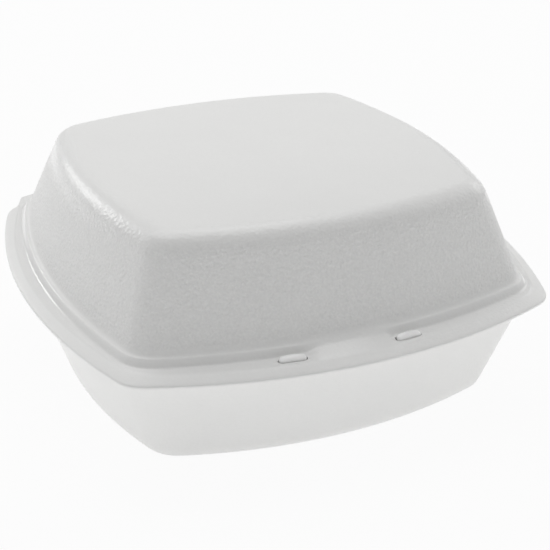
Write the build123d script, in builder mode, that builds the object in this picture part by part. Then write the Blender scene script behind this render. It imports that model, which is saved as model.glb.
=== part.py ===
from build123d import *
import math
import os

# Hinged foam clamshell for one sandwich. The real thing is one thermoformed sheet, folded at
# the back. It is two solids here, base and lid, parted at the fold so that the lid can turn.
# Frame: X along the front edge, front at -Y, fold at +Y, Z up, origin under the middle of the base.

# Foam sheet
sheet = 2.2                     # wall of the two bowls
rim_sheet = 1.5                 # sheet pressed thinner along the rim
fold_sheet = 0.7                # sheet crushed at the fold
round_steps = 4                 # flats that make up a rounded edge inside the bowls or under the base

# Rim plane: the plane of the lid's lower edge, which falls towards the front
rim_height = 33.5               # above the table at mid depth
rim_slope = 1.8                 # degrees

# Lid bowl
lid_height = 65.9               # top of the closed lid above the table
lid_draw_width = 11.2           # how far the left and right walls lean in towards the top
lid_draw_depth = 10.0           # and the front and back walls
lid_sweep = 16.8                # each side of the lid's bowl bows through twice this angle
lid_top_corner = 9.2
lid_top_round = 8.0             # rounded edge round the top
lid_ceiling_round = 6.0         # the same edge inside
lid_foot_half_width = 67.7
lid_foot_half_depth = 65.1
lid_foot_corner = 9.2

# Lid rim, heights above the rim plane
ledge_width = 1.0               # small step at the foot of the bowl
ledge_height = 4.2
skirt_flare = 1.5               # how far the skirt leans out below the ledge
ledge_round = 0.6
shelf_height = 2.1              # flat shelf round the skirt
rim_sweep = 21.0                # each side of the rim bows through twice this angle
side_shelf = 2.7                # width of the shelf, left and right
front_shelf = 4.9               # and at the front and back
ridge_corner = 15.0
ridge_round = 1.5
lip_run = 3.1                   # how far the lip reaches beyond the shelf
lip_corner = 9.6
lip_band = 0.8                  # height of the lip's cut edge

# Base bowl
base_foot_half_width = 60.6
base_foot_half_depth = 59.9
base_sweep = 19.0               # each side of the base bows through twice this angle
base_foot_corner = 10.9
base_foot_round = 2.5           # rounded edge round the bottom
base_floor_round = 4.0          # inside the bowl
base_rim_overhang = 0.6         # rim beyond the wall, in the middle of a side
base_wall_corner = 20.5         # the bowl is rounder where it meets the rim

# Fit between lid and base
rim_gap = 0.3                   # between the lid's shelf and the base's rim below it
rim_clearance = 0.7             # base rim inside the lid's lip, measured level
slot_clearance = 0.45           # all round a lock tongue

# Fold at the back
fold_reach = 0.9                # fold line behind the shelf's edge
land_depth = 19.4               # flat rim in front of the fold line, where the lip has ended
fold_gap = 0.3                  # between the two edges that meet at the fold line
fold_inset = 44.9               # ends of the fold line, in from the shelf's widest point
shoulder_inset = 12.2           # back corners of the land, likewise
shoulder_depth = 11.9           # and in front of the fold line
root_inset = 9.3                # the land where it leaves the lip
shoulder_corner = 1.2
fold_corner = 5.0
fold_strip = 1.6                # width of the crushed strip along the fold

# Front lock: two tongues of the base stand in two slots of the lid's rim
lock_centre = -3.4              # the pair sits a little left of the middle
lock_spacing = 34.0
tongue_length = 7.2
tongue_width = 2.2
tongue_rise = 1.3               # above the lid's shelf
tongue_corner = 0.9
tongue_set_back = 0.8           # tongue's front face behind the base rim's edge
flap_inset = 5.0                # the smooth thumb flap ends this far inside the tongues' middles
flap_clearance = 0.4            # between the flap and the base's rim below it

# Values that follow from the ones above
rim_plane = Plane.XY.offset(rim_height).rotated((rim_slope, 0, 0))
rim_axis = Axis(rim_plane.origin, rim_plane.z_dir)
lid_top_half_width = lid_foot_half_width - lid_draw_width
lid_top_half_depth = lid_foot_half_depth - lid_draw_depth
skirt_foot = ledge_width + skirt_flare
ridge_half_width = lid_foot_half_width + skirt_foot + side_shelf
ridge_half_depth = lid_foot_half_depth + skirt_foot + front_shelf
lip_half_width = ridge_half_width + lip_run
lip_half_depth = ridge_half_depth + lip_run
fold_y = ridge_half_depth + fold_reach
lip_back_end = fold_y - land_depth
fold_half_length = ridge_half_width - fold_inset
shoulder_half_length = ridge_half_width - shoulder_inset
shoulder_y = fold_y - shoulder_depth
land_root_half_length = ridge_half_width - root_inset
base_rim_top = shelf_height - rim_sheet - rim_gap
base_rim_half_width = ridge_half_width - rim_clearance
base_rim_half_depth = ridge_half_depth - rim_clearance
flap_length = lock_spacing - 2 * flap_inset
shelf_underside = shelf_height - rim_sheet
lid_draft = lid_draw_width / (lid_height - rim_height - ledge_height)
lip_drop = shelf_height - lip_band
lip_level = rim_sheet * math.hypot(lip_run, lip_drop) / lip_drop
lip_edge_inset = lip_level - lip_band * lip_run / lip_drop
lip_turn_inset = lip_level - rim_sheet * lip_run / lip_drop
flap_run = lip_half_depth - lid_foot_half_depth
flap_drop = ledge_height - lip_band
flap_level = rim_sheet * math.hypot(flap_run, flap_drop) / flap_drop
flap_edge_inset = flap_level - lip_band * flap_run / flap_drop
lid_top_inset = sheet * (1 - lid_draft)
base_rim_underside = base_rim_top - rim_sheet
base_draft = (base_rim_half_width - base_rim_overhang - base_foot_half_width) / (rim_height + base_rim_underside)
base_floor_inset = sheet * (1 - base_draft)


def side_radii(half_width, half_depth, corner, sweep):
    """Radii of an outline's sides, left and right first, that run smoothly into round corners."""
    rise = math.sin(math.radians(sweep))
    fall = 1 - math.cos(math.radians(sweep))
    across = half_width - corner
    along = half_depth - corner
    share = rise**2 - fall**2
    return corner + (rise * along - fall * across) / share, corner + (rise * across - fall * along) / share


def bowed_outline(plane, half_width, half_depth, corner, sweep, inset=0.0):
    """Four sides that bow outward, each through twice the sweep angle, joined by round corners."""
    width = half_width - inset
    depth = half_depth - inset
    radius = corner - inset
    side_radius, end_radius = side_radii(width, depth, radius, sweep)
    rise = math.sin(math.radians(sweep))
    fall = 1 - math.cos(math.radians(sweep))
    diagonal = radius * math.sqrt(0.5)
    side_x, side_y = width - side_radius * fall, side_radius * rise
    end_x, end_y = end_radius * rise, depth - end_radius * fall
    corner_x = (end_radius - radius) * rise + diagonal
    corner_y = (side_radius - radius) * rise + diagonal
    with BuildSketch(plane) as outline:
        with BuildLine():
            ThreePointArc((side_x, -side_y), (width, 0), (side_x, side_y))
            ThreePointArc((side_x, side_y), (corner_x, corner_y), (end_x, end_y))
            ThreePointArc((end_x, end_y), (0, depth), (-end_x, end_y))
            ThreePointArc((-end_x, end_y), (-corner_x, corner_y), (-side_x, side_y))
            ThreePointArc((-side_x, side_y), (-width, 0), (-side_x, -side_y))
            ThreePointArc((-side_x, -side_y), (-corner_x, -corner_y), (-end_x, -end_y))
            ThreePointArc((-end_x, -end_y), (0, -depth), (end_x, -end_y))
            ThreePointArc((end_x, -end_y), (corner_x, -corner_y), (side_x, -side_y))
        make_face()
    return outline.sketch


def lid_top(height, inset=0.0):
    """Outline of the lid's flat top before its edge is rounded."""
    return bowed_outline(Plane.XY.offset(height), lid_top_half_width, lid_top_half_depth,
                         lid_top_corner, lid_sweep, inset)


def lid_foot(height, inset=0.0):
    """Outline round the foot of the lid's bowl, at a height above the rim plane."""
    return bowed_outline(rim_plane.offset(height), lid_foot_half_width, lid_foot_half_depth,
                         lid_foot_corner, lid_sweep, inset)


def ridge(height, inset=0.0):
    """Outline where the shelf turns down into the lip."""
    return bowed_outline(rim_plane.offset(height), ridge_half_width, ridge_half_depth,
                         ridge_corner, rim_sweep, inset)


def lip_edge(height, inset=0.0):
    """Outline of the lip's free edge."""
    return bowed_outline(rim_plane.offset(height), lip_half_width, lip_half_depth,
                         lip_corner, rim_sweep, inset)


def fold_land(height, root_gap=0.0):
    """Flat part of the rim behind the lip's ends, which reaches back to the straight fold line."""
    root_y = lip_back_end + root_gap
    edge_y = fold_y - fold_gap / 2
    with BuildSketch(rim_plane.offset(height)) as land:
        with BuildLine():
            Polyline(
                (-land_root_half_length, root_y),
                (-shoulder_half_length, shoulder_y),
                (-fold_half_length, edge_y),
                (fold_half_length, edge_y),
                (shoulder_half_length, shoulder_y),
                (land_root_half_length, root_y),
                close=True,
            )
        make_face()
        fillet(land.vertices().group_by(Axis.Y)[1], shoulder_corner)
        fillet(land.vertices().group_by(Axis.Y)[-1], fold_corner)
    return land.sketch


def fold_crease(height):
    """Strip along the fold where the sheet is crushed thin."""
    with BuildSketch(rim_plane.offset(height)) as crease:
        with Locations((0, fold_y)):
            Rectangle(2 * land_root_half_length, 2 * fold_strip)
    return crease.sketch


def base_foot(height, inset=0.0):
    """Outline round the foot of the base."""
    return bowed_outline(Plane.XY.offset(height), base_foot_half_width, base_foot_half_depth,
                         base_foot_corner, base_sweep, inset)


def base_wall(height, inset=0.0):
    """Outline of the base's wall where it meets the rim."""
    return bowed_outline(rim_plane.offset(height), base_rim_half_width, base_rim_half_depth,
                         base_wall_corner, base_sweep, base_rim_overhang + inset)


def edge_sections(outline, flat_height, climb, inset, radius, draft):
    """Outlines that follow a rounded edge from a flat face to a leaning wall, up or down."""
    lean = math.atan(draft)
    flat_inset = inset + radius * (1 / math.cos(lean) - math.tan(lean))
    sections = []
    for step in range(round_steps + 1):
        turn = (math.pi / 2 - lean) * step / round_steps
        height = flat_height + climb * radius * (1 - math.cos(turn))
        sections.append(outline(height, flat_inset - radius * math.sin(turn)))
    return sections


def flap_zone(height, length):
    """Stretch of the front rim that the thumb flap takes up."""
    with BuildSketch(rim_plane.offset(height)) as zone:
        with Locations((lock_centre, -lip_half_depth)):
            Rectangle(length, 2 * (flap_run + 2 * sheet))
    return zone.sketch


def flap_underside(drop=0.0):
    """Solid below the flap's lower face, or below a face parallel to it and lower by a drop."""
    with BuildPart() as underside:
        loft(
            [lip_edge(-drop, flap_edge_inset), lid_foot(ledge_height - drop, flap_level)],
            ruled=True,
        )
    return underside.part


def lock_outlines(height, margin=0.0):
    """One rounded outline for each lock tongue, turned to follow the bow of the front rim."""
    front_radius = side_radii(ridge_half_width, ridge_half_depth, ridge_corner, rim_sweep)[1] - rim_clearance
    with BuildSketch(rim_plane.offset(height)) as outlines:
        for side in (-1, 1):
            x = lock_centre + side * lock_spacing / 2
            rim_edge_y = front_radius - math.sqrt(front_radius**2 - x**2) - base_rim_half_depth
            y = rim_edge_y + tongue_set_back + tongue_width / 2
            turn = math.degrees(math.asin(x / front_radius))
            with Locations(Location((x, y), turn)):
                RectangleRounded(
                    tongue_length + 2 * margin,
                    tongue_width + 2 * margin,
                    tongue_corner + margin,
                )
    return outlines.sketch


with BuildPart() as flap:
    # Smooth thumb flap between the two slots: one slope from the bowl to the lip's cut edge
    extrude(lip_edge(0), lip_band)
    loft([lip_edge(lip_band), lid_foot(ledge_height)], ruled=True)
    extrude(flap_zone(0, flap_length), ledge_height, mode=Mode.INTERSECT)
    add(flap_underside(), mode=Mode.SUBTRACT)

with BuildPart() as skirt:
    # Short leaning wall below the ledge, which gives way to the thumb flap
    loft([lid_foot(shelf_height, -skirt_foot), lid_foot(ledge_height, -ledge_width)], ruled=True)
    fillet(skirt.faces().sort_by(rim_axis)[-1].edges(), ledge_round)
    extrude(flap_zone(0, flap_length), ledge_height, mode=Mode.SUBTRACT)

with BuildPart() as skirt_hollow:
    # Inside of the skirt, from the shelf's underside up
    loft(
        [
            lid_foot(shelf_underside, rim_sheet - skirt_foot),
            lid_foot(ledge_height - rim_sheet, rim_sheet - ledge_width),
        ],
        ruled=True,
    )

with BuildPart() as lid_hollow:
    # Inside of the lid's bowl
    ceiling = edge_sections(lid_top, lid_height - sheet, -1, lid_top_inset, lid_ceiling_round, lid_draft)
    loft(ceiling + [lid_foot(ledge_height - rim_sheet, sheet)], ruled=True)

with BuildPart() as lid:
    # Shelf and drooping lip round the front and the sides, cut off before the fold
    loft([lip_edge(lip_band), ridge(shelf_height)], ruled=True)
    fillet(lid.faces().sort_by(rim_axis)[-1].edges(), ridge_round)
    extrude(lip_edge(0), lip_band)
    split(bisect_by=Plane((0, lip_back_end, 0), z_dir=(0, 1, 0)), keep=Keep.BOTTOM)
    loft([lip_edge(0, lip_edge_inset), ridge(shelf_underside, lip_turn_inset)], ruled=True, mode=Mode.SUBTRACT)

    # The front of the rim gives way to the thumb flap
    extrude(flap_zone(0, flap_length), shelf_height, mode=Mode.SUBTRACT)
    add(flap.part)

    # Land that reaches back to the fold and is crushed along it
    extrude(fold_land(shelf_underside), rim_sheet)
    extrude(fold_crease(shelf_underside + fold_sheet), rim_sheet, mode=Mode.SUBTRACT)

    # Skirt and bowl, and the hollow inside them
    add(skirt.part)
    loft([lid_foot(ledge_height), lid_top(lid_height)], ruled=True)
    fillet(lid.faces().sort_by(Axis.Z)[-1].edges(), lid_top_round)
    add(skirt_hollow.part, mode=Mode.SUBTRACT)
    add(lid_hollow.part, mode=Mode.SUBTRACT)

    # Slots for the lock tongues
    extrude(lock_outlines(0, slot_clearance), ledge_height, mode=Mode.SUBTRACT)

with BuildPart() as base_hollow:
    # Inside of the base's bowl
    floor = edge_sections(base_foot, sheet, 1, base_floor_inset, base_floor_round, base_draft)
    loft(floor + [base_wall(base_rim_top, sheet)], ruled=True)

with BuildPart() as flap_relief:
    # Room for the flap's underside in the front of the base's rim
    extrude(flap_zone(-flap_clearance, flap_length + 2 * flap_clearance), ledge_height)
    add(flap_underside(flap_clearance), mode=Mode.SUBTRACT)

with BuildPart() as base:
    # Bowl and rim, with the land that reaches back to the fold and is crushed along it
    foot = edge_sections(base_foot, 0, 1, 0, base_foot_round, base_draft)
    loft(foot + [base_wall(base_rim_underside)], ruled=True)
    extrude(ridge(base_rim_underside, rim_clearance), rim_sheet)
    extrude(fold_land(base_rim_underside, rim_clearance), rim_sheet)
    extrude(fold_crease(base_rim_underside), rim_sheet - fold_sheet, mode=Mode.SUBTRACT)
    add(base_hollow.part, mode=Mode.SUBTRACT)
    add(flap_relief.part, mode=Mode.SUBTRACT)

    # Lock tongues that stand up through the lid's slots
    extrude(lock_outlines(base_rim_top), rim_gap + rim_sheet + tongue_rise)

lid.part.label = "lid"
base.part.label = "base"

os.makedirs("parts", exist_ok=True)
export_step(lid.part, "parts/lid.step")
export_step(base.part, "parts/base.step")
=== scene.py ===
# %% [markdown]
# A foam clamshell, dressed for its picture
#
# The container is one sheet of white foam, drawn into two shallow bowls and folded shut along
# its back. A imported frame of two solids, base and lid, says where everything is and how the lid
# turns. This lesson makes the two bowls again as thin sheets, the way a mould would press them,
# and gives them the soft grain of foam.

# %% Load the frame
import math

import bmesh
import bpy
from mathutils import Matrix, Vector, noise


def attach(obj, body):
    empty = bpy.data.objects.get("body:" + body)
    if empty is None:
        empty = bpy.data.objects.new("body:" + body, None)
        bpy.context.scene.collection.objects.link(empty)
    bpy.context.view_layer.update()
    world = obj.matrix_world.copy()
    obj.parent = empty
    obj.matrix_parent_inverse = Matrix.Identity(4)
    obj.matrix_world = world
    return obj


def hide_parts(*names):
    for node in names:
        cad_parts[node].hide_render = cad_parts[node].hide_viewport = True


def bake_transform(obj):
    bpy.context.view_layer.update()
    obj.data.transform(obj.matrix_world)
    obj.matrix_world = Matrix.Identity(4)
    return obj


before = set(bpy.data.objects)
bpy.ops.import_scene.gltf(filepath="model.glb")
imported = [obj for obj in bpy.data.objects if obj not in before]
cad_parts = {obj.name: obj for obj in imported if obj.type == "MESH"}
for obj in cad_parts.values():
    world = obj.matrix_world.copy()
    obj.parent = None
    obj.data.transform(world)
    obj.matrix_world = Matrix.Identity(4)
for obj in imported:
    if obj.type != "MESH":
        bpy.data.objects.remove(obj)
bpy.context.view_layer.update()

# %% [markdown]
# Sizes
#
# The sizes repeat those of the solids, in millimetres, because the frame carries shapes and not
# the values that drew them. Everything round the rim is measured from a rim plane, which falls a
# little towards the front. One function turns a place over that plane into a point in metres.

# %% Sizes of the sheet and its rim
MM = 0.001
SHEET = 2.2
RIM_SHEET = 1.5
FOLD_SHEET = 0.7
RIM_HEIGHT = 33.5
RIM_SLOPE = math.radians(1.8)

LID_HEIGHT = 65.9
LID_TOP_ROUND = 7.0
LID_TOP_FALL = 1.2
LEDGE_HEIGHT = 4.2
SHELF_HEIGHT = 2.1
LIP_BAND = 0.8
BASE_RIM_TOP = 0.3
BASE_RIM_UNDERSIDE = BASE_RIM_TOP - RIM_SHEET
BASE_FOOT_ROUND = 2.5

FOLD_Y = 73.4
FOLD_GAP = 0.3
FOLD_STRIP = 1.6
FOLD_HALF_LENGTH = 28.0
SHOULDER_HALF_LENGTH = 60.7
SHOULDER_Y = 61.5
LAND_ROOT_HALF_LENGTH = 63.6
LIP_BACK_END = 54.0

LOCK_CENTRE = -3.4
LOCK_SPACING = 34.0
FLAP_HALF_LENGTH = 12.0


def over_rim(x, y, height):
    """A place over the rim plane, in millimetres, as a point of the frame in millimetres."""
    return Vector((
        x,
        y * math.cos(RIM_SLOPE) - height * math.sin(RIM_SLOPE),
        RIM_HEIGHT + y * math.sin(RIM_SLOPE) + height * math.cos(RIM_SLOPE),
    ))


def ease(start, end, value):
    """0 before start, 1 after end, and a smooth step between them."""
    share = min(max((value - start) / (end - start), 0.0), 1.0)
    return share * share * (3.0 - 2.0 * share)


print("fold line at", tuple(round(c, 2) for c in over_rim(0, FOLD_Y, 0)))

# %% [markdown]
# Outlines with bowed sides
#
# Seen from above, every level of the box is the same kind of outline: four sides that bow
# outward, joined by round corners. Each is four wide arcs and four small ones that meet without
# a kink. A column is one place along that outline, and it keeps its place from level to level,
# so the sheet's lines run straight down the walls.

# %% Outline points
SIDE_STEPS = 44
CORNER_STEPS = 12
COLUMNS = [
    (arc, step / steps)
    for arc in range(8)
    for steps in ((SIDE_STEPS, CORNER_STEPS)[arc % 2],)
    for step in range(steps)
]


class Outline:
    """Half sizes, corner radius and the half angle of each bowed side."""

    def __init__(self, half_width, half_depth, corner, sweep_degrees):
        self.half_width = half_width
        self.half_depth = half_depth
        self.corner = corner
        self.sweep_degrees = sweep_degrees
        sweep = math.radians(sweep_degrees)
        self.sweep = sweep
        rise, fall = math.sin(sweep), 1 - math.cos(sweep)
        across, along = half_width - corner, half_depth - corner
        share = rise**2 - fall**2
        self.side_radius = corner + (rise * along - fall * across) / share
        self.end_radius = corner + (rise * across - fall * along) / share

    def inset(self, distance):
        """The same outline drawn in by a distance, or let out by a negative one."""
        return Outline(self.half_width - distance, self.half_depth - distance,
                       self.corner - distance, self.sweep_degrees)

    def angle(self, column):
        """Direction in which the outline faces at a column."""
        arc, share = column
        quarter = math.pi / 2 * (arc // 2)
        if arc % 2:
            return quarter + self.sweep + (math.pi / 2 - 2 * self.sweep) * share
        return quarter + self.sweep * (2 * share - 1)

    def point(self, column):
        """The outline's point at a column."""
        arc = column[0]
        angle = self.angle(column)
        if arc % 2:
            radius = self.corner
            right = (1, -1, -1, 1)[arc // 2]
            back = (1, 1, -1, -1)[arc // 2]
            centre_x = right * (self.end_radius - radius) * math.sin(self.sweep)
            centre_y = back * (self.side_radius - radius) * math.sin(self.sweep)
        elif arc in (0, 4):
            radius = self.side_radius
            centre_x = (self.half_width - radius) * (1 if arc == 0 else -1)
            centre_y = 0.0
        else:
            radius = self.end_radius
            centre_x = 0.0
            centre_y = (self.half_depth - radius) * (1 if arc == 2 else -1)
        return centre_x + radius * math.cos(angle), centre_y + radius * math.sin(angle)

    def distance(self, place):
        """How far a place lies outside the outline, or inside if it is negative."""
        x, y = abs(place.x), abs(place.y)
        corner_x = (self.end_radius - self.corner) * math.sin(self.sweep)
        corner_y = (self.side_radius - self.corner) * math.sin(self.sweep)
        angle = math.atan2(y - corner_y, x - corner_x)
        if self.sweep <= angle <= math.pi / 2 - self.sweep:
            return math.hypot(x - corner_x, y - corner_y) - self.corner
        if -math.pi * 3 / 4 < angle < self.sweep:
            return math.hypot(x - self.half_width + self.side_radius, y) - self.side_radius
        return math.hypot(x, y - self.half_depth + self.end_radius) - self.end_radius

    def seen_from(self, place, direction):
        """The outline's point straight ahead of a place inside it."""
        for nearing in range(60):
            place = place - direction * self.distance(place)
        return place


LID_TOP = Outline(56.5, 55.1, 9.2, 16.8)
LID_FOOT = Outline(67.7, 65.1, 9.2, 16.8)
RIDGE = Outline(72.9, 72.5, 15.0, 21.0)
LIP = Outline(76.0, 75.6, 9.6, 21.0)
BASE_FOOT = Outline(60.6, 59.9, 10.9, 19.0)
BASE_WALL = Outline(71.6, 71.2, 19.9, 19.0)
BASE_RIM = RIDGE.inset(0.7)
SKIRT_FOOT = LID_FOOT.inset(-2.95)
print("columns round each level:", len(COLUMNS))

# %% [markdown]
# Columns at the lock slots
#
# A hole in a grid of faces is cleanest when the grid already has lines along the hole's ends. The
# columns nearest to the ends of the two lock slots are moved there before anything is grown.

# %% Columns moved to the slot ends
FRONT_SIDE = 6            # number of the arc that bows along the front
SLOT_HALF_LENGTH = 4.05
SHELF_MIDDLE = 2.0
LOCK_PLACES = (LOCK_CENTRE - LOCK_SPACING / 2, LOCK_CENTRE + LOCK_SPACING / 2)


def facing(outline, column):
    """An outline's point at a column and the direction it faces there."""
    angle = outline.angle(column)
    return Vector(outline.point(column)), Vector((math.cos(angle), math.sin(angle)))


def shelf_x(column):
    """Place along the front, in millimetres, of the shelf's middle at a column."""
    place, direction = facing(SKIRT_FOOT, column)
    return place.x + direction.x * SHELF_MIDDLE


for lock_x in LOCK_PLACES:
    for end_x in (lock_x - SLOT_HALF_LENGTH, lock_x + SLOT_HALF_LENGTH):
        front = [number for number, column in enumerate(COLUMNS) if column[0] == FRONT_SIDE]
        nearest = min(front, key=lambda number: abs(shelf_x(COLUMNS[number]) - end_x))
        low, high = 0.0, 1.0
        for halving in range(40):
            middle = (low + high) / 2
            before_end = shelf_x((FRONT_SIDE, middle)) < end_x
            low, high = (middle, high) if before_end else (low, middle)
        COLUMNS[nearest] = (FRONT_SIDE, low)
        print("column", nearest, "moved to x", round(shelf_x(COLUMNS[nearest]), 2))

# %% [markdown]
# Growing a sheet ring by ring
#
# A pressed sheet could be cut from a solid block, but a mould draws it from a flat disc, and the
# same thing works in mesh code. A small capped circle is extruded outward, edge by edge, and each
# new ring is set on the next level of the form. Every vertex carries a weight that says how thick
# the sheet is there, so that one Solidify modifier gives the bowls their full wall and the rim and
# fold their crushed, thinner one.

# %% Sheet maker
SKIN_WAVE = 0.10          # a pressed foam skin is never quite true, in millimetres
SKIN_WAVE_LENGTH = 21.0
SKIN_SEED = 5             # without a seed the noise would start from the clock
CUT_EDGE_ROUND = 0.3
noise.seed_set(SKIN_SEED)


def wavy(point):
    """Move a point a little, as foam skin wanders, but not near the pressed rim or on the table."""
    over_plane = point.z - RIM_HEIGHT - point.y * math.sin(RIM_SLOPE)
    loose = ease(3.0, 9.0, abs(over_plane - 1.5)) * ease(1.0, 6.0, point.z)
    return point + noise.noise_vector(point / SKIN_WAVE_LENGTH) * SKIN_WAVE * loose


def grow_sheet(rings):
    """Extrude a capped circle outward through rings of (point, thickness) pairs.

    Gives back the mesh and its vertices, row by row.
    """
    sheet = bmesh.new()
    weights = sheet.verts.layers.deform.verify()
    bmesh.ops.create_circle(sheet, cap_ends=True, cap_tris=True, segments=len(COLUMNS), radius=1.0)
    centre = min(sheet.verts, key=lambda vert: vert.co.length)
    border = [vert for vert in sheet.verts if vert is not centre]
    border.sort(key=lambda vert: math.atan2(vert.co.y, vert.co.x))
    edges = [edge for edge in sheet.edges if edge.is_boundary]
    first_height = rings[0][0][0].z
    centre.co = Vector((0.0, 0.0, first_height)) * MM
    centre[weights][0] = rings[0][0][1] / SHEET
    rows = []
    for number, ring in enumerate(rings):
        if number:
            column_at = {tuple(vert.co): column for column, vert in enumerate(border)}
            grown = bmesh.ops.extrude_edge_only(sheet, edges=edges)["geom"]
            fresh = [item for item in grown if isinstance(item, bmesh.types.BMVert)]
            border = sorted(fresh, key=lambda vert: column_at[tuple(vert.co)])
            fresh_edges = [item for item in grown if isinstance(item, bmesh.types.BMEdge)]
            edges = [edge for edge in fresh_edges if edge.is_boundary]
        for vert, (point, thickness) in zip(border, ring):
            vert.co = wavy(point) * MM
            vert[weights][0] = thickness / SHEET
        rows.append(border)
    return sheet, rows


def finish_sheet(name, sheet, facing_up):
    """Turn a grown sheet the right way, give it its thickness and soften its cut edges."""
    sheet.faces.ensure_lookup_table()
    if (sheet.faces[0].normal.z > 0) != facing_up:
        bmesh.ops.reverse_faces(sheet, faces=sheet.faces)
    for face in sheet.faces:
        face.smooth = True
    mesh = bpy.data.meshes.new(name)
    sheet.to_mesh(mesh)
    sheet.free()
    piece = bpy.data.objects.new(name, mesh)
    bpy.context.scene.collection.objects.link(piece)
    piece.vertex_groups.new(name="thickness")
    wall = piece.modifiers.new("wall", "SOLIDIFY")
    wall.thickness = SHEET * MM
    wall.offset = -1.0
    wall.use_quality_normals = True
    wall.vertex_group = "thickness"
    wall.thickness_vertex_group = 0.0
    edge = piece.modifiers.new("cut edge", "BEVEL")
    edge.width = CUT_EDGE_ROUND * MM
    edge.segments = 2
    edge.limit_method = "ANGLE"
    edge.angle_limit = math.radians(50)
    return piece


# %% [markdown]
# The flat land behind the lip
#
# Round the front and the sides the rim follows the bowed outline. Near the back corners the lip
# ends in a quarter round, and the rim lets go of the outline and runs flat to the straight fold
# line. Both halves of the box share this land, so both ask the same function where it lies. Along
# the fold the sheet is crushed thin.

# %% Land places
LAND_START = LIP_BACK_END + 0.9
LIP_END_ROUND = 4.0
SHOULDER_REACH = 0.8
FOLD_END_REACH = 1.0
LAND_TAIL = 12.0
STRIP_Y = FOLD_Y - FOLD_STRIP
STRIP_STEP = 0.15
STRIP_LEAST = 0.6
STRIP_RINGS = 3


def rounded_corner(before, corner, after, reach):
    """A few points that cut a corner with a curve, starting and ending a reach away from it."""
    start = corner + (before - corner).normalized() * reach
    end = corner + (after - corner).normalized() * reach
    shares = [step / 4 for step in range(5)]
    return [start.lerp(corner, share).lerp(corner.lerp(end, share), share) for share in shares]


def land_path():
    """Points of the land's outer edge, from beyond the right end of the lip to the left one."""
    root = Vector((LAND_ROOT_HALF_LENGTH, LIP_BACK_END))
    shoulder = Vector((SHOULDER_HALF_LENGTH, SHOULDER_Y))
    fold_end = Vector((FOLD_HALF_LENGTH, FOLD_Y - FOLD_GAP / 2))
    middle = Vector((0.0, fold_end.y))
    right = [root + (root - shoulder).normalized() * LAND_TAIL]
    right += rounded_corner(root, shoulder, fold_end, SHOULDER_REACH)
    right += rounded_corner(shoulder, fold_end, middle, FOLD_END_REACH)
    return right + [Vector((-p.x, p.y)) for p in reversed(right)]


LAND_PATH = land_path()


def land_edge(place, direction):
    """Point of the land's outer edge straight ahead of a place."""
    for start, end in zip(LAND_PATH, LAND_PATH[1:]):
        side, away = end - start, start - place
        turn = direction.cross(side)
        if abs(turn) < 1e-9:
            continue
        ahead, share = away.cross(side) / turn, away.cross(direction) / turn
        if ahead > 0 and -1e-6 <= share <= 1 + 1e-6:
            return place + direction * ahead
    return None


def land_shares(start, end, count):
    """Where a count of rings lie from start to end, with a pair of them at the crushed strip."""
    if end.y <= STRIP_Y + STRIP_LEAST:
        return [((step + 1) / count, False) for step in range(count)]
    crossing = (STRIP_Y - start.y) / (end.y - start.y)
    gap = STRIP_STEP / (end.y - start.y)
    before = count - STRIP_RINGS - 1
    places = [((crossing - gap) * (step + 1) / before, False) for step in range(before)]
    inner = crossing + gap
    steps = range(STRIP_RINGS + 1)
    return places + [(inner + (1 - inner) * step / STRIP_RINGS, True) for step in steps]


def on_land(start, direction, rim_y, count):
    """How far a column belongs to the land, and the places of its rings there."""
    turned = min(max(1 + (rim_y - LAND_START) / LIP_END_ROUND, 0.0), 1.0)
    share = 1 - math.sqrt(1 - turned**2)
    if not share:
        return 0.0, [(start, False)] * count
    end = land_edge(start, direction)
    parts = land_shares(start, end, count)
    return share, [(start.lerp(end, part), crushed) for part, crushed in parts]


print("land edge from", tuple(LAND_PATH[0]), "to", tuple(LAND_PATH[-1]))

# %% [markdown]
# The lid
#
# From the middle of its top, which falls a little to the front, the lid rolls over a generous
# edge, runs down a leaning wall, steps out over a small ledge, drops down a short skirt, crosses a
# shelf and droops into a lip. At the front, between the two locks, skirt, shelf and lip melt into
# one smooth slope to lift the lid by. The rings follow exactly that order.

# %% Lid rings
TOP_SHARES = (0.04, 0.2, 0.4, 0.6, 0.78, 0.9, 0.97)
ROUND_STEPS = 10
WALL_STEPS = 12
FOOT_SOFTENING = 0.6
LEDGE_RINGS = (
    (-0.30, 4.23), (-0.69, 4.19), (-0.96, 4.11), (-1.17, 3.94), (-1.68, 3.24),
    (-2.12, 2.60), (-2.36, 2.33), (-2.64, 2.16),
)
SHELF_SHARES = (0.0, 0.10, 0.37, 0.667, 0.76)
RIDGE_RINGS = ((0.39, 2.1), (0.08, 2.06))
LIP_SHARES = (0.11, 0.36, 0.66, 0.93)
BAND_RINGS = ((0.05, 0.72), (0.0, 0.45), (0.02, 0.05))
FLAP_BLEND = 3.0
FLAP_SOFTENING = 0.8
FLAP_FILLET = 2.6
FLAP_FILLET_STEEPNESS = 0.3
SHELF_LEAST = 2.0


def flap_weight(column):
    """1 on the thumb flap between the locks, 0 beside it."""
    if column[0] != FRONT_SIDE:
        return 0.0
    start, end = FLAP_HALF_LENGTH - FLAP_BLEND / 2, FLAP_HALF_LENGTH + FLAP_BLEND / 2
    return 1.0 - ease(start, end, abs(shelf_x(column) - LOCK_CENTRE))


def on_top(x, y):
    """A point of the lid's top, which falls a little to the front as the rim below it does."""
    return Vector((x, y, LID_HEIGHT - LID_TOP_FALL * (0.5 - y / LID_TOP.half_depth / 2)))


def lid_wall(column):
    """Top corner, wall foot and outward direction of the lid's bowl at a column."""
    top = on_top(*LID_TOP.point(column))
    foot = over_rim(*LID_FOOT.point(column), LEDGE_HEIGHT)
    angle = LID_TOP.angle(column)
    return top, foot, Vector((math.cos(angle), math.sin(angle), 0.0))


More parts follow.
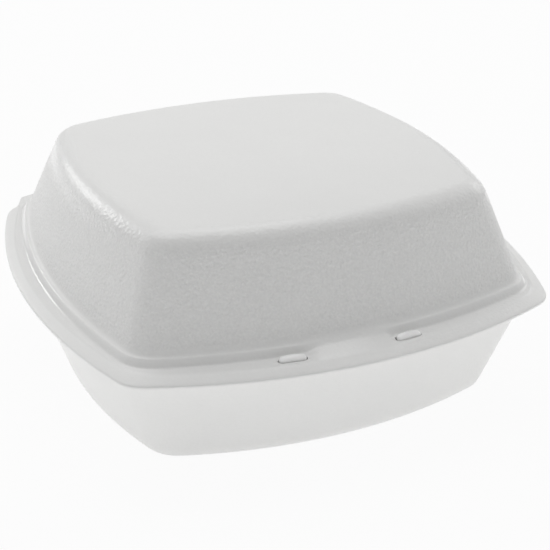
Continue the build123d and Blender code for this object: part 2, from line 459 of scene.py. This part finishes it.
def lid_bowl_column(column):
    """Points from the middle of the top to the foot of the wall."""
    top, foot, outward = lid_wall(column)
    wall = foot - top
    lean = math.atan2(wall.to_2d().length, -wall.z)
    turn = math.pi / 2 - lean
    tangent = LID_TOP_ROUND * math.tan(turn / 2)
    start = on_top(*(top - outward * tangent).to_2d())
    points = [on_top(start.x * share, start.y * share) for share in TOP_SHARES]
    for step in range(ROUND_STEPS + 1):
        angle = turn * step / ROUND_STEPS
        reach = outward * LID_TOP_ROUND * math.sin(angle)
        points.append(start + reach + Vector((0, 0, LID_TOP_ROUND * (math.cos(angle) - 1))))
    wall_start = points[-1]
    softening = FOOT_SOFTENING + FLAP_SOFTENING * flap_weight(column)
    wall_end = foot - wall.normalized() * softening
    points += [wall_start.lerp(wall_end, (step + 1) / WALL_STEPS) for step in range(WALL_STEPS)]
    return points


def flap_height(column, place, height, lip_edge):
    """Height of the rim where the smooth thumb flap takes over from the shelf and lip."""
    weight = flap_weight(column)
    foot = Vector(LID_FOOT.point(column))
    run = (place - foot).length
    share = run / (lip_edge - foot).length
    if weight == 0.0 or share > 0.99:
        return height
    fillet = FLAP_FILLET_STEEPNESS * FLAP_FILLET * max(0.0, 1 - run / FLAP_FILLET) ** 2
    slope = LEDGE_HEIGHT - (LEDGE_HEIGHT - LIP_BAND) * share + fillet
    return height + (slope - height) * weight


def lid_rim_column(column):
    """Points and sheet thicknesses from the ledge out to the cut edge."""
    flat = [(Vector(LID_FOOT.inset(inset).point(column)), height) for inset, height in LEDGE_RINGS]
    skirt, direction = facing(SKIRT_FOOT, column)
    shelf_edge, lip_edge = RIDGE.seen_from(skirt, direction), LIP.seen_from(skirt, direction)
    shelf = (shelf_edge - skirt).length
    outer = [(skirt.lerp(shelf_edge, share), SHELF_HEIGHT) for share in SHELF_SHARES]
    for inset, height in RIDGE_RINGS:
        outer.append((skirt.lerp(shelf_edge, 1 - inset / max(shelf, SHELF_LEAST)), height))
    for share in LIP_SHARES:
        height = SHELF_HEIGHT + (LIP_BAND - SHELF_HEIGHT) * share
        outer.append((shelf_edge.lerp(lip_edge, share), height))
    outer += [(lip_edge - direction * inset, height) for inset, height in BAND_RINGS]
    rows = []
    for place, height in flat:
        rows.append((place, flap_height(column, place, height, lip_edge), RIM_SHEET))
    on_back, land = on_land(skirt, direction, shelf_edge.y, len(outer))
    for (place, height), (land_place, crushed) in zip(outer, land):
        height = flap_height(column, place, height, lip_edge)
        thickness = FOLD_SHEET if crushed else RIM_SHEET
        land_height = SHELF_HEIGHT - RIM_SHEET + thickness
        height += (land_height - height) * on_back
        rows.append((place.lerp(land_place, on_back), height, thickness))
    return rows


def lid_column(column):
    """One column of the lid as (point, thickness) pairs."""
    bowl = [(point, SHEET) for point in lid_bowl_column(column)]
    rim = [
        (over_rim(place.x, place.y, height), thickness)
        for place, height, thickness in lid_rim_column(column)
    ]
    return bowl + rim


lid_columns = [lid_column(column) for column in COLUMNS]
lid_sheet, lid_rows = grow_sheet(list(zip(*lid_columns)))
print("lid rings:", len(lid_rows), "faces:", len(lid_sheet.faces))

# %% [markdown]
# The lock slots
#
# Two short slots in the front shelf catch a pair of tongues. In the factory a punch cuts them
# through the shelf, so here a block of the sheet's faces is deleted and the corners of the hole
# are rounded by a vertex bevel. The columns were set to start and stop at the slots' ends.

# %% Slots through the shelf
SLOT_CORNER = 1.1
COLUMN_SLACK = 0.05
SLOT_RINGS = 3
rings_from_shelf = len(SHELF_SHARES + RIDGE_RINGS + LIP_SHARES + BAND_RINGS)
slot_start = len(lid_rows) - rings_from_shelf + 1
slot_rows = range(slot_start, slot_start + SLOT_RINGS)


def cut_slot(sheet, rows, start_x, end_x):
    """Delete the shelf's faces between two places along the front and round the hole's corners."""
    inside = []
    for row in slot_rows:
        for column, vert in zip(COLUMNS, rows[row]):
            in_slot = start_x - COLUMN_SLACK <= shelf_x(column) <= end_x + COLUMN_SLACK
            if column[0] == FRONT_SIDE and in_slot:
                inside.append(vert)
    faces = [face for face in sheet.faces if all(vert in inside for vert in face.verts)]
    corners = [v for v in inside if sum(face in faces for face in v.link_faces) == 1]
    bmesh.ops.delete(sheet, geom=faces, context="FACES")
    bmesh.ops.bevel(sheet, geom=corners, affect="VERTICES", offset=SLOT_CORNER * MM, segments=3,
                    profile=0.5, material=-1)
    return len(faces)


for lock_x in LOCK_PLACES:
    cut = cut_slot(lid_sheet, lid_rows, lock_x - SLOT_HALF_LENGTH, lock_x + SLOT_HALF_LENGTH)
    print("slot at x", lock_x, "faces cut:", cut)
lid_piece = finish_sheet("lid_shell", lid_sheet, facing_up=True)

# %% [markdown]
# The base
#
# The base is the plainer bowl: a flat bottom with a small rounded edge, a wall that leans outward,
# and a narrow rim that the lid's shelf lies on. It grows from the middle of its bottom.

# %% Base rings
BOTTOM_SHARES = (0.04, 0.25, 0.5, 0.75, 0.9, 0.97)
FOOT_STEPS = 6
BASE_WALL_STEPS = 14
RIM_RINGS = 7
FLAP_RELIEF = 0.6
FLAP_RELIEF_BLEND = 2.0


def flap_relief(column):
    """How far the base's rim is lowered to make room for the thumb flap."""
    if column[0] != FRONT_SIDE:
        return 0.0
    along = abs(BASE_WALL.point(column)[0] - LOCK_CENTRE)
    end = FLAP_HALF_LENGTH + FLAP_RELIEF_BLEND
    return FLAP_RELIEF * (1.0 - ease(FLAP_HALF_LENGTH, end, along))


def base_bowl_column(column):
    """Points from the middle of the bottom to the top of the wall."""
    foot = Vector((*BASE_FOOT.point(column), 0.0))
    top = over_rim(*BASE_WALL.point(column), BASE_RIM_UNDERSIDE - flap_relief(column))
    angle = BASE_FOOT.angle(column)
    outward = Vector((math.cos(angle), math.sin(angle), 0.0))
    wall = top - foot
    lean = math.atan2(wall.to_2d().length, wall.z)
    turn = math.pi / 2 - lean
    start = foot - outward * BASE_FOOT_ROUND * math.tan(turn / 2)
    points = [start * share for share in BOTTOM_SHARES]
    for step in range(FOOT_STEPS + 1):
        angle = turn * step / FOOT_STEPS
        reach = outward * BASE_FOOT_ROUND * math.sin(angle)
        points.append(start + reach + Vector((0, 0, BASE_FOOT_ROUND * (1 - math.cos(angle)))))
    wall_start = points[-1]
    for step in range(BASE_WALL_STEPS):
        points.append(wall_start.lerp(top, (step + 1) / BASE_WALL_STEPS))
    return points


def base_rim_column(column):
    """Points and thicknesses across the rim's underside, out to its edge or to the fold."""
    wall, direction = facing(BASE_WALL, column)
    edge = BASE_RIM.seen_from(wall, direction)
    on_back, land = on_land(wall, direction, edge.y, RIM_RINGS)
    rows = []
    for number, (land_place, crushed) in enumerate(land):
        place = wall.lerp(edge, (number + 1) / RIM_RINGS).lerp(land_place, on_back)
        thickness = FOLD_SHEET if crushed else RIM_SHEET
        height = BASE_RIM_UNDERSIDE - flap_relief(column) + (RIM_SHEET - thickness) * on_back
        rows.append((over_rim(place.x, place.y, height), thickness))
    return rows


def base_column(column):
    """One column of the base as (point, thickness) pairs."""
    return [(point, SHEET) for point in base_bowl_column(column)] + base_rim_column(column)


base_columns = [base_column(column) for column in COLUMNS]
base_sheet, base_rows = grow_sheet(list(zip(*base_columns)))
print("base rings:", len(base_rows), "faces:", len(base_sheet.faces))
base_piece = finish_sheet("base_shell", base_sheet, facing_up=False)

# %% [markdown]
# The lock tongues
#
# On the base's front rim stand two small tongues. Closing the lid pushes them up through the
# slots, where their heads show as two bright spots. A bevelled cube would look blocky, so each is
# a row of rounded cross-sections that are joined face by face and capped. The head slopes down to
# the front and to both ends.

# %% Tongues
TONGUE_LENGTH = 7.55
TONGUE_WIDTH = 2.1
TONGUE_LOW = 0.0
TONGUE_HIGH = 3.1
TONGUE_LEAN = 0.33
TONGUE_CROWN = 0.35
TONGUE_SET_BACK = 0.82
TONGUE_STATIONS = 17
TONGUE_CORNER = 0.95
TONGUE_END_DROP = 0.3
HEAD_FRONT = ((-1.0, -0.4), (-0.92, -0.1), (-0.62, 0.12))
HEAD_BACK = ((0.62, 0.0), (0.92, -0.12), (1.0, -0.4))
HEAD_RIDGE = 0.06


def lock_frame(x):
    """Turn and place that carry a tongue drawn at the origin to its spot on the front rim."""
    turn = math.asin(x / BASE_RIM.end_radius)
    edge_y = BASE_RIM.end_radius * (1 - math.cos(turn)) - BASE_RIM.half_depth
    place = over_rim(x, edge_y + TONGUE_SET_BACK + TONGUE_WIDTH / 2, 0.0)
    tilt = Matrix.Rotation(RIM_SLOPE, 4, "X")
    return Matrix.Translation(place) @ tilt @ Matrix.Rotation(turn, 4, "Z")


def tongue_section(along):
    """Rounded cross-section of a tongue, whose head slopes down to the front and to both ends."""
    past = max(0.0, abs(along) * TONGUE_LENGTH / 2 - TONGUE_LENGTH / 2 + TONGUE_CORNER)
    half = TONGUE_WIDTH / 2 - TONGUE_CORNER + math.sqrt(max(0.0, TONGUE_CORNER**2 - past**2))
    middle = TONGUE_HIGH - TONGUE_CROWN * along**2 - TONGUE_END_DROP * along**12
    front, back = middle - TONGUE_LEAN * half, middle + TONGUE_LEAN * half
    section = [(-half, TONGUE_LOW)]
    section += [(half * side, front + half * rise) for side, rise in HEAD_FRONT]
    section += [(0.0, middle + half * HEAD_RIDGE)]
    section += [(half * side, back + half * rise) for side, rise in HEAD_BACK]
    return section + [(half, TONGUE_LOW)]


tongues = bmesh.new()
for lock_x in LOCK_PLACES:
    carry = Matrix.Scale(MM, 4) @ lock_frame(lock_x)
    sections = []
    for station in range(TONGUE_STATIONS):
        along = math.sin(math.pi * (station / (TONGUE_STATIONS - 1) - 0.5))
        across = [Vector((along * TONGUE_LENGTH / 2, y, z)) for y, z in tongue_section(along)]
        sections.append([tongues.verts.new(carry @ point) for point in across])
    for near, far in zip(sections, sections[1:]):
        for side in range(len(near)):
            after = (side + 1) % len(near)
            tongues.faces.new((near[side], far[side], far[after], near[after]))
    tongues.faces.new(sections[0])
    tongues.faces.new(sections[-1])
bmesh.ops.recalc_face_normals(tongues, faces=tongues.faces)
for face in tongues.faces:
    face.smooth = True
tongue_mesh = bpy.data.meshes.new("lock_tongues")
tongues.to_mesh(tongue_mesh)
tongues.free()
tongue_piece = bpy.data.objects.new("lock_tongues", tongue_mesh)
bpy.context.scene.collection.objects.link(tongue_piece)
print("tongues: faces", len(tongue_mesh.polygons))

# %% [markdown]
# The fold
#
# Base and lid are one sheet, and the crushed strip between them folds like a page. The solids
# stop short of each other there, because rigid bodies can only meet at a hinge. This thin web
# closes the gap: it is drawn once, bent round the fold as the shut box has it.

# %% Fold web
WEB_THICKNESS = 0.54
WEB_OVERLAP = 1.2
WEB_HALF_LENGTH = 26.5
WEB_STEPS = 24
BEND_STEPS = 8
FOLD_MIDDLE = 0.45
strip_middle = FOLD_MIDDLE - FOLD_SHEET / 2 - FOLD_GAP / 2
bend_radius = FOLD_MIDDLE - strip_middle
web = bmesh.new()
profile = [(FOLD_Y - WEB_OVERLAP, strip_middle)]
for step in range(BEND_STEPS + 1):
    angle = math.pi * (step / BEND_STEPS - 0.5)
    bend_y = FOLD_Y - FOLD_GAP / 4 + bend_radius * math.cos(angle)
    profile.append((bend_y, FOLD_MIDDLE + bend_radius * math.sin(angle)))
profile.append((FOLD_Y - WEB_OVERLAP, 2 * FOLD_MIDDLE - strip_middle))
line = [web.verts.new(over_rim(-WEB_HALF_LENGTH, y, height) * MM) for y, height in profile]
web_edges = [web.edges.new(pair) for pair in zip(line, line[1:])]
for step in range(WEB_STEPS):
    grown = bmesh.ops.extrude_edge_only(web, edges=web_edges)["geom"]
    far = [item for item in grown if isinstance(item, bmesh.types.BMVert)]
    bmesh.ops.translate(web, verts=far, vec=(2 * WEB_HALF_LENGTH * MM / WEB_STEPS, 0, 0))
    far_set = set(far)
    web_edges = [e for e in grown if isinstance(e, bmesh.types.BMEdge) and set(e.verts) <= far_set]
bmesh.ops.recalc_face_normals(web, faces=web.faces)
for face in web.faces:
    face.smooth = True
web_mesh = bpy.data.meshes.new("fold_web")
web.to_mesh(web_mesh)
web.free()
web_piece = bpy.data.objects.new("fold_web", web_mesh)
bpy.context.scene.collection.objects.link(web_piece)
web_wall = web_piece.modifiers.new("wall", "SOLIDIFY")
web_wall.thickness = WEB_THICKNESS * MM
web_wall.offset = 0.0
print("fold web: faces", len(web_mesh.polygons))

# %% [markdown]
# Sums of shader sockets
#
# A material is a web of nodes, and drawing it link by link hides what it works out. This small
# class wraps one output of a node and overloads the signs, so a sum of sockets can be written as a
# sum. Any other node is made by its one method. A step rises smoothly from 0 to 1, and a band is
# 1 between two steps, which is all that the masks of this foam need.

# %% Shader sums
class Wire:
    """One output socket of a node tree that takes part in sums."""

    def __init__(self, tree, socket):
        self.tree = tree
        self.socket = socket

    @classmethod
    def node(cls, tree, kind, settings=None, inputs=None, output=0):
        """Add a node: first its settings, then the values or links of its sockets."""
        node = tree.nodes.new(kind)
        for name, value in (settings or {}).items():
            setattr(node, name, value)
        for name, value in (inputs or {}).items():
            if isinstance(value, Wire):
                tree.links.new(value.socket, node.inputs[name])
            else:
                node.inputs[name].default_value = value
        return cls(tree, node.outputs[output])

    def maths(self, operation, first, second):
        settings = {"operation": operation}
        return Wire.node(self.tree, "ShaderNodeMath", settings, {0: first, 1: second})

    def __add__(self, other):
        return self.maths("ADD", self, other)

    __radd__ = __add__

    def __sub__(self, other):
        return self.maths("SUBTRACT", self, other)

    def __rsub__(self, other):
        return self.maths("SUBTRACT", other, self)

    def __mul__(self, other):
        return self.maths("MULTIPLY", self, other)

    __rmul__ = __mul__

    def step(self, start, end):
        """A smooth step from 0 at start to 1 at end."""
        return Wire.node(
            self.tree, "ShaderNodeMapRange", {"interpolation_type": "SMOOTHSTEP"},
            {"Value": self, "From Min": start, "From Max": end},
        )

    def band(self, start, full, fade, end):
        """0 before start, 1 from full to fade and 0 again from end."""
        return self.step(start, full) * (1.0 - self.step(fade, end))


print("signs that work on sockets: + - *")

# %% [markdown]
# Where the sheet was pressed and stretched, and where the tongue heads get a painted highlight
#
# One sheet has several skins. The rim was pressed hot and hard, and its step is ironed to a gloss.
# The walls were stretched, so their cells show. The edge round the lid's top has a faint sheen.
# The tongue heads get a glossy coat and a painted highlight, a lighter colour that stands in for
# bright spots of light on them. Each is a mask over object coordinates, in millimetres, so it
# stays with the sheet when the lid turns.

# %% Masks
foam = bpy.data.materials.new("foam")
foam.use_nodes = True
tree = foam.node_tree
surface = tree.nodes["Principled BSDF"]
place = Wire.node(tree, "ShaderNodeTexCoord", output="Object")
across, depth, height = (
    Wire.node(tree, "ShaderNodeSeparateXYZ", inputs={0: place}, output=axis) * (1 / MM)
    for axis in "XYZ"
)
over_plane = height - RIM_HEIGHT - depth * math.sin(RIM_SLOPE)
from_middle = Wire.node(tree, "ShaderNodeMath", {"operation": "ABSOLUTE"},
                        {0: across - LOCK_CENTRE})
pressed = over_plane.band(-2.0, -0.8, 4.2, 5.4)
ironed = over_plane.band(1.85, 2.05, 3.6, 4.4)
stretched = over_plane.step(4.6, 6.5) * (1.0 - height.step(60.0, 65.0))
crest = height.band(56.0, 60.0, 64.4, 65.4)
heads = over_plane.step(2.3, 2.6) * (1.0 - depth.step(-67.9, -67.5))
# painted highlight mask: the tongue heads, which get a lighter colour and a gloss coat
highlit_heads = heads * from_middle.step(12.9, 13.4)
print("nodes of the masks:", len(tree.nodes))

# %% [markdown]
# Foam
#
# Foam sheet is white all through, with a soft mottle. Its fine round cells are too small to model,
# so they are a noise and a cell pattern that drive a little colour and a bump, strongest where the
# sheet was stretched. Gloss comes from where the mould has smoothed it and from a coat on the
# tongue heads. The heads are also painted a lighter white, a painted highlight for bright spots.

# %% Foam material
FOAM_WHITE = (0.86, 0.86, 0.85, 1.0)
FOAM_SHADE = (0.78, 0.78, 0.775, 1.0)
# painted highlight: the lighter white of the tongue heads
HEAD_HIGHLIGHT_WHITE = (0.95, 0.95, 0.945, 1.0)
FOAM_ROUGHNESS = 0.62
PRESSED_ROUGHNESS = 0.45
CREST_ROUGHNESS = 0.3
IRONED_COAT = 0.65
HEAD_COAT = 0.45
COAT_ROUGHNESS = 0.12
MOTTLE_SCALE = 55.0
GRAIN_SCALE = 1600.0
CELL_SCALE = 1000.0
BUMP_DEPTH = 0.0003


def mixed(share, first, second):
    """A colour between two colours."""
    return Wire.node(tree, "ShaderNodeMix", {"data_type": "RGBA"},
                     {"Factor": share, "A": first, "B": second}, output="Result")


mottle = Wire.node(tree, "ShaderNodeTexNoise",
                   inputs={"Vector": place, "Scale": MOTTLE_SCALE, "Detail": 3.0})
grain = Wire.node(tree, "ShaderNodeTexNoise",
                  inputs={"Vector": place, "Scale": GRAIN_SCALE, "Detail": 2.0})
cells = Wire.node(tree, "ShaderNodeTexVoronoi", {"feature": "SMOOTH_F1"},
                  {"Vector": place, "Scale": CELL_SCALE, "Smoothness": 0.6})
speckle = ((grain - 0.5) * 2.4 + 0.5) * (0.15 + stretched * 0.65)
# the tongue heads are painted a lighter white, a painted highlight
tint = mixed(highlit_heads, mixed(mottle * 0.3 + speckle, FOAM_WHITE, FOAM_SHADE), HEAD_HIGHLIGHT_WHITE)
pressing = pressed * (FOAM_ROUGHNESS - PRESSED_ROUGHNESS)
smoothing = pressing + crest * (FOAM_ROUGHNESS - CREST_ROUGHNESS)
sheen = FOAM_ROUGHNESS - smoothing + (grain - 0.5) * 0.1
relief = (grain * 0.5 + cells * 0.7) * (0.25 + stretched * 0.75)
bump = Wire.node(tree, "ShaderNodeBump", output="Normal",
                 inputs={"Height": relief, "Strength": 1.0, "Distance": BUMP_DEPTH})
gloss = ironed * IRONED_COAT + highlit_heads * HEAD_COAT
for name, wire in (("Base Color", tint), ("Roughness", sheen), ("Normal", bump),
                   ("Coat Weight", gloss)):
    tree.links.new(wire.socket, surface.inputs[name])
surface.inputs["Coat Roughness"].default_value = COAT_ROUGHNESS
surface.inputs["Specular IOR Level"].default_value = 0.5
print("foam nodes:", len(tree.nodes))

# %% [markdown]
# Joining the frame
#
# The lid, the base and the tongues are each told which body carries them, the solids they stand
# in for are hidden, and every piece takes the foam material. The web stays where it was drawn.

# %% Ride, replace and slot
for piece, body in ((lid_piece, "lid"), (base_piece, "base"), (tongue_piece, "base")):
    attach(piece, body)
web_low = over_rim(0, FOLD_Y, strip_middle) * MM
web_high = over_rim(0, FOLD_Y, 2 * FOLD_MIDDLE - strip_middle) * MM
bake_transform(web_piece)
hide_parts("lid")
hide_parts("base")
for piece in (lid_piece, base_piece, tongue_piece, web_piece):
    piece.data.materials.append(foam)

# %% [markdown]
# The studio
#
# The picture is a plain white cut-out, and the base is its lightest wall, so much of its light
# came up from the table. One soft panel therefore lies flat on the pale floor, hidden from the
# camera. Another hangs above and behind, two weaker ones stand left and right, and the room in
# front stays darker, which keeps the lid's front wall in gentle shade. The camera sees the floor
# and the room as white.

# %% Floor
PURE_WHITE = (1.0, 1.0, 1.0, 1.0)
FLOOR_GREY = (0.7, 0.7, 0.7, 1.0)
FLOOR_WHITE_SHARE = 0.94
FLOOR_HALF = 1.5


def white_to_camera(tree, shader, seen):
    """A shader for the light, mixed with plain white for the camera by a share."""
    white = Wire.node(tree, "ShaderNodeEmission", inputs={"Color": PURE_WHITE, "Strength": 1.0})
    straight, mirrored, passed = (
        Wire.node(tree, "ShaderNodeLightPath", output=ray)
        for ray in ("Is Camera Ray", "Is Glossy Ray", "Is Transmission Ray")
    )
    clear = (straight + mirrored + passed) * seen
    return Wire.node(tree, "ShaderNodeMixShader", inputs={0: clear, 1: shader, 2: white})


floor_mesh = bpy.data.meshes.new("floor")
floor_form = bmesh.new()
bmesh.ops.create_grid(floor_form, x_segments=1, y_segments=1, size=FLOOR_HALF)
floor_form.to_mesh(floor_mesh)
floor_form.free()
floor = bpy.data.objects.new("floor", floor_mesh)
bpy.context.scene.collection.objects.link(floor)
floor_paint = bpy.data.materials.new("floor_white")
floor_paint.use_nodes = True
floor_tree = floor_paint.node_tree
floor_tree.nodes.remove(floor_tree.nodes["Principled BSDF"])
matte = Wire.node(floor_tree, "ShaderNodeBsdfDiffuse", inputs={"Color": FLOOR_GREY})
floor_end = floor_tree.nodes["Material Output"].inputs["Surface"]
floor_tree.links.new(white_to_camera(floor_tree, matte, FLOOR_WHITE_SHARE).socket, floor_end)
floor_mesh.materials.append(floor_paint)
print("floor half size:", FLOOR_HALF)

# %% Lights
ROOM_LEVEL = 0.39
world = bpy.data.worlds.new("room")
bpy.context.scene.world = world
world.use_nodes = True
room_tree = world.node_tree
room = Wire.node(room_tree, "ShaderNodeBackground",
                 inputs={"Color": PURE_WHITE, "Strength": ROOM_LEVEL})
white_room = Wire.node(room_tree, "ShaderNodeBackground",
                       inputs={"Color": PURE_WHITE, "Strength": 1.0})
straight_ray = Wire.node(room_tree, "ShaderNodeLightPath", output="Is Camera Ray")
seen_white = Wire.node(room_tree, "ShaderNodeMixShader",
                       inputs={0: straight_ray, 1: room, 2: white_room})
room_tree.links.new(seen_white.socket, room_tree.nodes["World Output"].inputs["Surface"])


def soft_panel(name, place, aim, width, height, power):
    """A large soft light that faces a point."""
    lamp = bpy.data.lights.new(name, "AREA")
    lamp.shape = "RECTANGLE"
    lamp.size = width
    lamp.size_y = height
    lamp.energy = power
    light = bpy.data.objects.new(name, lamp)
    light.location = place
    light.rotation_euler = (Vector(aim) - Vector(place)).to_track_quat("-Z", "Y").to_euler()
    bpy.context.scene.collection.objects.link(light)
    return light


soft_panel("panel_above", (0.0, 0.35, 1.0), (0, 0, 0.03), 1.0, 0.8, 4.9)
soft_panel("panel_left", (-0.56, 1.12, 0.56), (0, 0, 0.03), 0.4, 0.4, 2.7)
soft_panel("panel_right", (1.0, 0.25, 0.55), (0, 0, 0.03), 0.8, 0.5, 2.1)
below = soft_panel("panel_below", (0, 0, 0.0003), (0, 0, 1), 1.6, 1.6, 4.2)
below.visible_camera = False

# %% [markdown]
# The camera
#
# The angle was found by fitting the rim, the lid and the base to the photograph. The lens is a
# short telephoto close to the box, so the near corner looms a little. The frame was cropped off
# centre, which the sideways shift repeats.

# %% Camera
AZIMUTH = math.radians(-23.39)
ELEVATION = math.radians(25.36)
DISTANCE = 380.78
TARGET = Vector((0.35, -0.20, 24.26))
back = Vector((
    math.sin(AZIMUTH) * math.cos(ELEVATION),
    -math.cos(AZIMUTH) * math.cos(ELEVATION),
    math.sin(ELEVATION),
))
eye = bpy.data.cameras.new("camera")
eye.lens = 79.00
eye.sensor_width = 36.0
eye.shift_x = 0.0248
eye.shift_y = -0.0008
eye.clip_start = 0.01
camera = bpy.data.objects.new("camera", eye)
camera.location = (TARGET + back * DISTANCE) * MM
camera.rotation_euler = back.to_track_quat("Z", "Y").to_euler()
bpy.context.scene.collection.objects.link(camera)
bpy.context.scene.camera = camera
bpy.context.scene.view_settings.view_transform = "Standard"
print("camera at", tuple(round(value, 4) for value in camera.location))
